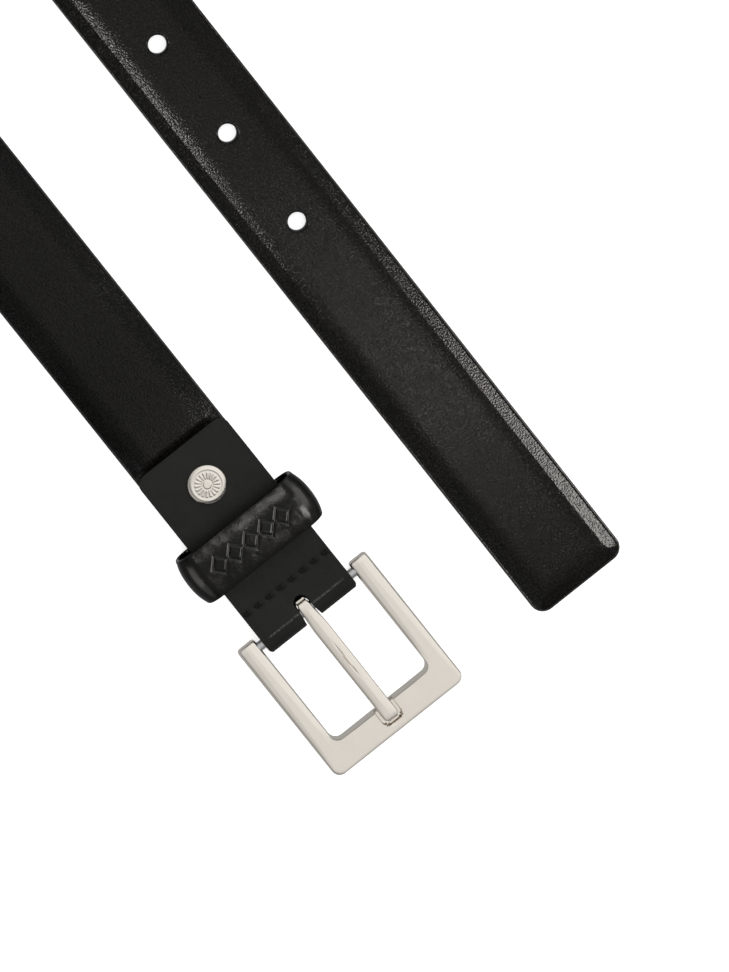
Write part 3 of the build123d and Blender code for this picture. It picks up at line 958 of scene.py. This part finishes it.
def rivet_head():
    """Rings of a round head; its face carries a ring of shallow flutes round a plain button."""
    radius = (cap_high[0] - cap_low[0]) / 2
    centre = ((cap_low[0] + cap_high[0]) / 2, (cap_low[1] + cap_high[1]) / 2)
    top = cap_high[2]
    around = 288
    rim = [(1.0, 0.0), (1.0, 0.6), (0.995, 0.7), (0.98, 0.8), (0.955, 0.91), (0.92, 1.03)]
    rim += [(0.88, 1.15), (0.84, 1.25), (0.80, 1.32), (0.775, 1.3), (0.755, 1.24), (0.735, 1.2)]
    rows = [(share, cap_base + rise) for share, rise in rim]
    rows += [(0.72 - 0.0175 * k, None) for k in range(1, 41)]
    face_drop, flute_height, button_height = 0.32, 0.20, 0.20
    points = []
    for share, z in rows:
        fluted = smooth((share - 0.27) / 0.08) * (1 - smooth((share - 0.60) / 0.09))
        button = 1 - smooth((share - 0.17) / 0.07)
        for k in range(around):
            turn = 2 * math.pi * k / around
            height = z
            if z is None:
                wave = abs(math.cos(flute_count * turn / 2)) ** 1.5
                height = top - face_drop + flute_height * fluted * wave + button_height * button
            x, y = share * radius * math.cos(turn), share * radius * math.sin(turn)
            points.append((centre[0] + x, centre[1] + y, height))
    return make_piece("rivet_head", points, tube_faces(len(rows), around), [nickel], flat=[-2])


rivet = rivet_head()

# ---- keeper: a domed leather band, butted underneath ----

keeper_length = keeper_high[0] - keeper_low[0]
keeper_half_width = (keeper_high[1] - keeper_low[1]) / 2
keeper_top = keeper_high[2]
keeper_middle = (keeper_low[0] + keeper_high[0]) / 2
keeper_crown = 1.35
keeper_corner = 5.9
keeper_edge = 0.62
keeper_thickness = 1.15
seam_half_gap = 0.02
lozenge_count = 5
lozenge_pitch = 5.4
lozenge_half = (2.5, 2.75)
lozenge_row = -0.2
lozenge_inradius = 1.85
lozenge_groove = 0.34
lozenge_line = 0.3


def rounded_ring(half_w, low, high, corner, spacing):
    """Points round a rounded rectangle in (y, z), from the middle of its underside, with normals."""
    centre_z = (low + high) / 2
    half_h = (high - low) / 2
    made = []

    def line(p, q):
        p, q = np.array(p, float), np.array(q, float)
        n = max(2, math.ceil(np.linalg.norm(q - p) / spacing))
        direction = (q - p) / np.linalg.norm(q - p)
        normal = (direction[1], -direction[0])
        made.extend((tuple(p + (q - p) * k / n), normal) for k in range(n))

    def bend(centre, from_angle):
        n = max(8, math.ceil(corner * math.pi / 2 / spacing))
        for k in range(n):
            turn = from_angle + math.pi / 2 * k / n
            out = (math.cos(turn), math.sin(turn))
            made.append(((centre[0] + corner * out[0], centre[1] + corner * out[1]), out))

    inner_w, inner_h = half_w - corner, half_h - corner
    low_z, high_z = centre_z - inner_h, centre_z + inner_h
    quarter = math.pi / 2
    line((seam_half_gap, low), (inner_w, low))
    bend((inner_w, low_z), -quarter)
    line((half_w, low_z), (half_w, high_z))
    bend((inner_w, high_z), 0)
    line((inner_w, high), (-inner_w, high))
    bend((-inner_w, high_z), quarter)
    line((-half_w, high_z), (-half_w, low_z))
    bend((-inner_w, low_z), math.pi)
    line((-inner_w, low), (-seam_half_gap, low))
    made.append(((-seam_half_gap, low), (0.0, -1.0)))
    return made


def lozenges(x, y, height):
    """Depth of the tooled row of plain lozenges on the keeper's top."""
    if height < keeper_top - 3:
        return 0.0
    slot_number = round(y / lozenge_pitch)
    slot_number = max(-(lozenge_count // 2), min(lozenge_count // 2, slot_number))
    along = abs(x - lozenge_row) / lozenge_half[1]
    beside = abs(y - slot_number * lozenge_pitch) / lozenge_half[0]
    away = abs(along + beside - 1) * lozenge_inradius
    return soft_line(away, lozenge_line, lozenge_groove)


def keeper_band():
    """Rows across the band, columns round the ring: outer face, rolled edges and inner face."""
    half = keeper_length / 2
    ring = rounded_ring(keeper_half_width, 0.0, keeper_top, keeper_corner, 0.18)
    edge, thin = keeper_edge, keeper_thickness
    face_lines, lip_lines, inner_lines = 96, 8, 12
    section = []

    def lip(centre_x, from_angle):
        for k in range(lip_lines + 1):
            turn = from_angle - math.pi * k / lip_lines
            height = thin / 2 * math.sin(turn) - keeper_crown - thin / 2
            section.append((centre_x + edge * math.cos(turn), height, 0))

    for k in range(1, face_lines):
        share = 2 * k / face_lines - 1
        crown = keeper_crown * (1 - abs(share) ** 2.3)
        section.append((share * (half - edge * 0.4), crown - keeper_crown, 1))
    lip(half - edge, math.pi / 2)
    for k in range(inner_lines + 1):
        x = (half - edge) * (1 - 2 * k / inner_lines)
        hollow = 0.45 * keeper_crown * (1 - (x / half) ** 2)
        section.append((x, hollow - keeper_crown - thin, 0))
    lip(edge - half, -math.pi / 2)
    points = []
    for (y, z), (out_y, out_z) in ring:
        underneath = min(1.0, max(0.0, -out_z - 0.2) / 0.6)
        for x, rise, face in section:
            offset = rise + keeper_crown * underneath
            if rise > -keeper_crown:
                offset = rise * (1 - underneath)
            if face and out_z > 0.5:
                offset -= lozenges(x, y, z)
            points.append((keeper_middle + x, bar_y + y + out_y * offset, z + out_z * offset))
    faces = tube_faces(len(ring), len(section))
    return make_piece("keeper_band", points, faces, [keeper_skin], flat=[-2, -1])


keeper = keeper_band()

# ---- buckle frame: two rails and a front bar, cast in one ----

frame_half = (frame_high[1] - frame_low[1]) / 2
frame_front = frame_high[0] - bar_x
frame_back = frame_low[0] - bar_x
frame_top = frame_high[2]
window_half = 16.6
window_front = 33.9
outer_corner = 2.6
inner_corner = 2.6
notch_half = 3.2
notch_end = 39.9
notch_depth = 1.2
notch_corner = 2.2


def u_outline(half, front, corner, sections):
    """Points along a U: up one rail, across the front and down the other, in matched sections."""
    rail, bend, across = sections
    straight = front - corner
    length = straight - frame_back
    side = [(frame_back + length * rail_share(k / rail), -half) for k in range(rail)]
    for k in range(bend):
        turn = math.pi / 2 * (k / bend - 1)
        side.append((straight + corner * math.cos(turn), corner - half + corner * math.sin(turn)))
    middle = [(front, (half - corner) * share) for share in across]
    return np.array(side + middle + [(x, -y) for x, y in reversed(side)])


def rail_share(t):
    """Closer lines at the rail's end, where it is rounded."""
    return t**1.35


def frame_lines():
    """Lines across the front bar, closer together beside the notch."""
    reach = frame_half - outer_corner
    beside = (-0.35, -0.22, -0.12, 0, 0.12, 0.22, 0.35)
    near = [side * (notch_half + step) / reach for side in (-1, 1) for step in beside]
    marks = [k / 26 for k in range(-26, 27)]
    kept = [m for m in marks if all(abs(m - n) > 0.012 for n in near)]
    return sorted(kept + near)


def buckle_casting():
    """Sections from the window's edge to the outer edge, all the way round the frame's U."""
    rail_lines, bend_lines = 46, 12
    across = frame_lines()
    inner_across = [opposite(share) for share in across]
    sections, inner_sections = [(rail_lines, bend_lines, shares) for shares in (across, inner_across)]
    outer = u_outline(frame_half, frame_front, outer_corner, sections)
    inner = u_outline(window_half, window_front, inner_corner, inner_sections)
    top_rows = [0, 0.04, 0.09, 0.15, 0.21, 0.27, 0.32, 0.36, 0.40, 0.44, 0.48, 0.52, 0.56]
    top_rows += [0.60, 0.64, 0.68, 0.73, 0.79, 0.85, 0.91, 0.96, 1.0]
    points = []
    for i, o in zip(inner, outer):
        width = np.linalg.norm(o - i)
        out = (o - i) / width
        front = smooth((i[0] - (window_front - 11.0)) / 11.0)
        ring = []
        lip, shoulder = 0.55, 1.0
        draft = 0.45 * front**3
        bevel = 2.4
        for share in top_rows:
            start = lip * 0.55 + draft
            w = start + (width - start - shoulder * 0.45) * share
            from_inner, from_outer = w, width - w
            edge = min(from_inner, from_outer)
            drop = (1 - front) * (rounding(edge, 1.1, 0.28) + 0.105 * max(0.0, bevel - edge))
            round_in = rounding(from_inner, lip, 0.30)
            round_out = rounding(from_outer, shoulder, 0.2 + 0.4 * front)
            ring.append((w, frame_top - drop - round_in - round_out))
        ring += [(width - 0.28, frame_top - 0.95 - 0.1 * front), (width - 0.1, frame_top - 1.45)]
        ring += [(width, 2.2), (width, 0.9), (width - 0.12, 0.35), (width - 0.4, 0.08)]
        ring += [(width - 0.8, 0.0), (0.7, 0.0), (0.35, 0.08), (0.1, 0.32), (0.0, 0.8)]
        ring += [(0.5 * draft, 2.4), (0.03 + 0.75 * draft, 3.2)]
        ring.append((0.1 + 0.83 * draft, frame_top - 0.87 + 0.51 * front))
        points.append([(*(i + out * w), z) for w, z in ring])
    points = np.array(points)
    points[:, :, 2] -= notch_drop(points)
    round_rail_ends(points)
    faces = tube_faces(*points.shape[:2])
    placed = points.reshape(-1, 3) + np.array([bar_x, bar_y, 0])
    return make_piece("buckle_casting", placed, faces, [nickel], flat=[-2, -1])


def opposite(share):
    """The share of the window's front line that stands opposite this share of the outer one.

    It is straight across in the middle, and spreads towards the window's corners beyond that."""
    straight = 0.6
    ratio = (frame_half - outer_corner) / (window_half - inner_corner)
    if abs(share * ratio) < straight:
        return share * ratio
    beyond = (abs(share) - straight / ratio) / (1 - straight / ratio)
    return math.copysign(straight + beyond * (1 - straight), share)


def notch_drop(points):
    """How far the notch for the tongue's tip lowers each point of the front bar's top."""
    x, y, z = np.moveaxis(points, -1, 0)
    beyond = np.maximum(x - (notch_end - notch_corner), 0)
    beside = np.maximum(abs(y) - (notch_half - notch_corner), 0)
    corner = np.hypot(beyond, beside) - notch_corner
    side = abs(y) - notch_half
    outside = np.where((beyond > 0) & (beside > 0), corner, np.maximum(side, x - notch_end))
    inside = smooth(-outside / 0.24 + 0.5) * (x > window_front - 0.5)
    return notch_depth * inside * (z > frame_top - notch_depth - 0.6)


def round_rail_ends(points):
    """Draws in the last sections of each rail, so that its end is softly rounded."""
    radius, strength = 1.2, 0.55
    for section in points:
        x = section[:, 0].mean()
        if x > frame_back + radius:
            continue
        share = 1 - (x - frame_back) / radius
        pull = radius * (1 - math.sqrt(max(0.0, 1 - share**2))) * strength
        for axis in (1, 2):
            low, high = section[:, axis].min(), section[:, axis].max()
            middle, size = (low + high) / 2, (high - low) / 2
            section[:, axis] = middle + (section[:, axis] - middle) * (1 - pull / size)


casting = buckle_casting()

# ---- tongue: a shank whose root curls round the bar ----

tongue_half = (tongue_high[1] - tongue_low[1]) / 2
tongue_tip = tongue_high[0] - bar_x
eye_outer = 2.62
eye_inner = 1.46


def circle(radius, from_degrees, to_degrees, count):
    made = []
    for k in range(count + 1):
        turn = math.radians(from_degrees + (to_degrees - from_degrees) * k / count)
        made.append((radius * math.cos(turn), radius * math.sin(turn)))
    return made


def tongue_outline():
    """The side view, about the bar's centre: shank, curl, seam and bore as one closed line."""
    shank_bottom = 0.55
    outline = [(-2.72, 2.2), (-2.6, 2.42), (-2.3, 2.56), (-1.7, 2.62), (-0.8, 2.63), (0.2, 2.63)]
    outline += [(1.0 + k * 1.2, 2.625 - 0.0025 * k) for k in range(31)]
    outline += [(tongue_tip - 1.1, 2.5), (tongue_tip - 0.5, 2.3), (tongue_tip - 0.14, 1.95)]
    outline += [(tongue_tip, 1.55), (tongue_tip, 1.1), (tongue_tip - 0.2, 0.72)]
    outline.append((tongue_tip - 0.7, shank_bottom))
    outline += [(tongue_tip - 1.6 - k * 2.3, shank_bottom) for k in range(15)]
    outline += [(4.0, 0.52), (3.3, 0.42), (2.85, 0.2)]
    outline += circle(eye_outer, -5, -175, 22)
    outline += [(-2.75, 0.5), (-3.1, 0.95), (-3.45, 1.25), (-3.75, 1.6), (-3.85, 1.95), (-3.7, 2.22)]
    outline += [(-3.4, 2.3), (-3.12, 2.22), (-2.97, 2.0), (-2.85, 1.7), (-2.3, 1.25), (-1.7, 0.98)]
    outline += circle(eye_inner, 150, 504, 40)
    outline += [(-1.6, 1.12), (-2.2, 1.42), (-2.66, 1.8)]
    return np.array(outline)


def tongue_casting():
    outline = tongue_outline()
    back, ahead = np.roll(outline, 1, axis=0), np.roll(outline, -1, axis=0)
    direction = ahead - back
    direction /= np.linalg.norm(direction, axis=1)[:, None]
    inward = np.stack([direction[:, 1], -direction[:, 0]], axis=1)
    rows = [(-1.0, 0.42), (-0.985, 0.24), (-0.95, 0.11), (-0.89, 0.03)]
    rows += [(y, 0.0) for y in (-0.8, -0.7, -0.6, -0.5, -0.4, -0.3, -0.2, -0.11, -0.06, -0.03, 0.0)]
    rows += [(-y, inset) for y, inset in reversed(rows[:-1])]
    x, z = outline.T
    along = np.clip(x / tongue_tip, 0, 1)
    root = 0.76 + 0.24 * smooth((x + 0.6) / 7.0) - 0.13 * smooth((-x - 1.2) / 1.2)
    width = tongue_half * (root - 0.03 * smooth((along - 0.4) * 1.7))
    tip_taper = 1.15
    width -= 0.75 * smooth((x - tongue_tip + tip_taper) / tip_taper)
    ridge = smooth((x + 2.0) / 4.0) * (1 - 0.6 * smooth((x - tongue_tip + 7.0) / 5.0)) * (z > 2.0)
    streak = 0.34 * smooth((x - 10.5) / 6.0) * (1 - smooth((x - 19.0) / 5.0)) * (z > 2.0)
    points = []
    for y, inset in rows:
        side, high = (outline + inward * inset).T
        roof = -ridge * (0.17 * abs(y) + 0.22 * y**4) - streak * max(0.0, 1 - abs(y) / 0.1)
        points.append(np.stack([bar_x + side, bar_y + y * width, bar_z + high + roof], axis=1))
    faces = tube_faces(len(rows), len(outline))
    return make_piece("tongue_casting", np.concatenate(points), faces, [nickel], flat=[-2, -1])


tongue = tongue_casting()

# ---- what moves with what ----

for piece, body, slot, nodes in [
    (strap_leather, "strap", "leather", ["strap_outer", "strap_filler"]),
    (strap_backing, "strap", "lining", ["strap_lining"]),
    (tab_strip, "strap", "tab_leather", ["chape_tab"]),
    (stitches, "strap", "thread", ["chape_stitching"]),
    (rivet, "strap", "nickel", ["rivet_cap"]),
    (keeper, "keeper", "keeper_leather", ["keeper_loop"]),
    (casting, "buckle", "nickel", ["buckle_frame"]),
    (tongue, "tongue", "nickel", ["buckle_tongue"]),
]:
    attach(piece, body)
    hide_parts(*nodes)

for piece, slot, nodes in [
    (billet_leather, "leather", ["billet_outer", "billet_filler"]),
    (billet_backing, "lining", ["billet_lining"]),
]:
    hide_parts(*nodes)
    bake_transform(piece)

# The bar gets the darker steel. This is partly the colour of its own steel rod and partly painted
# shade, for the bar lying shadowed between the rails and under the tab.
for node, material in [("buckle_bar", steel), ("rivet_foot", nickel), ("keeper_staple", steel)]:
    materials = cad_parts[node].data.materials
    materials.clear()
    materials.append(material)

# ---- floor, light and camera ----


def floor_paper():
    """A white sheet lit from below, as on a light table, so that the belt throws no shadow."""
    m = new_material("floor_paper", Roughness=0.9, Specular_IOR_Level=0.1, Emission_Strength=0.7)
    m.shader.inputs["Emission Color"].default_value = (1, 1, 1, 1)
    place = m.place(surface=False)
    fibre = m.noise(place, 700, detail=3)
    dark, light = (0.93, 0.93, 0.93), (0.95, 0.95, 0.95)
    m.link(m.colours(fibre, [(mid_low, dark), (mid_high, light)]), "Base Color")
    return m.owner


def floor():
    size, floor_gap = 20.0, 0.0002
    mesh = bpy.data.meshes.new("floor")
    corners = [(-size, -size, 0), (size, -size, 0), (size, size, 0), (-size, size, 0)]
    mesh.from_pydata(corners, [], [(0, 1, 2, 3)])
    mesh.materials.append(floor_paper())
    made = add_object("floor", mesh)
    made.location = (0, 0, cad_low[2] - floor_gap)
    made.visible_glossy = False
    return made


def facing(back, right):
    """The turn of a thing that looks away from back, with its right side towards right."""
    return Matrix((right, back.cross(right), back)).transposed()


def lamp(name, kind, energy, location, target, pieces):
    """A light on these pieces alone, as a studio's flags would keep it, long side along the belt."""
    made = add_object(name, bpy.data.lights.new(name, kind))
    made.data.energy = energy
    made.location = location
    back = (made.location - Vector(target)).normalized()
    right = (Vector((1, 0, 0)) - back * back.x).normalized()
    made.rotation_euler = facing(back, right).to_euler()
    reached = bpy.data.collections.new(name + "_lit")
    for piece in pieces:
        reached.objects.link(piece)
    made.light_linking.receiver_collection = reached
    return made


def softbox(name, location, target, size, power, pieces):
    """A warm area light on some of the pieces."""
    made = lamp(name, "AREA", power, location, target, pieces)
    made.visible_camera = False
    made.data.shape = "RECTANGLE"
    made.data.size, made.data.size_y = size
    made.data.color = (1.0, 0.965, 0.91)


def sun(name, azimuth, elevation, strength, angle, pieces):
    """Broad, even light on some of the pieces. The metal is lit by the tent alone."""
    a, e = math.radians(azimuth), math.radians(elevation)
    towards = (math.cos(a) * math.cos(e), math.sin(a) * math.cos(e), math.sin(e))
    made = lamp(name, "SUN", strength, towards, (0, 0, 0), pieces)
    made.data.angle = math.radians(angle)


def studio_world():
    """A pale tent, brightest overhead and on the side of the tip leg, darker low down and opposite."""
    overhead = (-0.2, 0.58, 0.79)
    # The tent's grey at each height, from the darkest direction up to the overhead one.
    greys = {0.2: 0.42, 0.40: 0.45, 0.50: 0.28, 0.60: 0.24, 0.68: 0.58, 0.81: 0.72, 0.92: 0.97}
    stops = [(position, (grey, grey, grey)) for position, grey in greys.items()]
    stops.append((0.87, (0.86, 0.855, 0.85)))
    world = bpy.data.worlds.new("studio")
    w = Nodes(world, "Background", Strength=1.0)
    direction = w.add("TexCoord").outputs["Generated"]
    towards = w.add("VectorMath", {0: direction, 1: overhead}, operation="DOT_PRODUCT")
    height = w.range(towards.outputs["Value"], -1.0, 1.0, 0.0, 1.0)
    w.link(w.colours(height, sorted(stops)), "Color")
    bpy.context.scene.world = world


def main_camera():
    """Nearly overhead, from a little behind the buckle's bar, turned so that the belt runs aslant."""
    target = Vector((205.7, 1.5, 0.0)) * MM
    tilt = math.radians(10.5)
    distance = 2.4
    seen = 267.2 * MM
    turn = math.radians(52.05)
    roll_up = Vector((-math.sin(turn), math.cos(turn), 0.0))
    camera = bpy.data.cameras.new("camera")
    camera.sensor_width = 36.0
    camera.lens = camera.sensor_width * distance / seen
    made = add_object("camera", camera)
    made.location = target + distance * Vector((-math.sin(tilt), 0, math.cos(tilt)))
    back = (made.location - target).normalized()
    made.rotation_mode = "QUATERNION"
    made.rotation_quaternion = facing(back, roll_up.cross(back).normalized()).to_quaternion()
    bpy.context.scene.camera = made


paper = floor()
studio_world()
main_camera()
straps = [billet_leather, strap_leather]
softbox("margin_strip", (0.335, 0.275, 0.25), (0.24, 0.045, 0), (0.11, 0.09), 1.8, straps)
softbox("top_box", (0.30, 0.0, 0.9), (0.16, 0.0, 0), (0.46, 0.11), 0.40, straps + [tab_strip])
softbox("crown_box", (0.232, 0.04, 0.25), (0.19, 0.033, 0), (0.022, 0.016), 0.07, straps)
softbox("shoulder_box", (0.115, -0.068, 0.25), (0.08, 0.02, 0), (0.05, 0.02), 0.42, [billet_leather])
softbox("keeper_box", (0.085, -0.015, 0.25), (0.19, -0.03, 0), (0.08, 0.02), 0.14, [keeper])
softbox("keeper_rim", (0.29, 0.06, 0.20), (0.198, -0.03, 0.01), (0.12, 0.12), 0.9, [keeper])
softbox("keeper_side", (0.22, 0.42, 0.30), (0.198, -0.03, 0.01), (0.30, 0.34), 1.8, [keeper])
softbox("keeper_end", (0.20, -0.50, 0.30), (0.19, -0.05, 0), (0.30, 0.34), 1.5, [keeper])
soft_pieces = straps + [billet_backing, strap_backing, tab_strip, stitches, keeper, paper]
sun_elevation = 30
sun_strength = 0.6
sun_width = 35
for name, azimuth in [("key", 120), ("fill", -60)]:
    sun(name, azimuth, sun_elevation, sun_strength, sun_width, soft_pieces)
bpy.context.scene.view_settings.view_transform = "Standard"
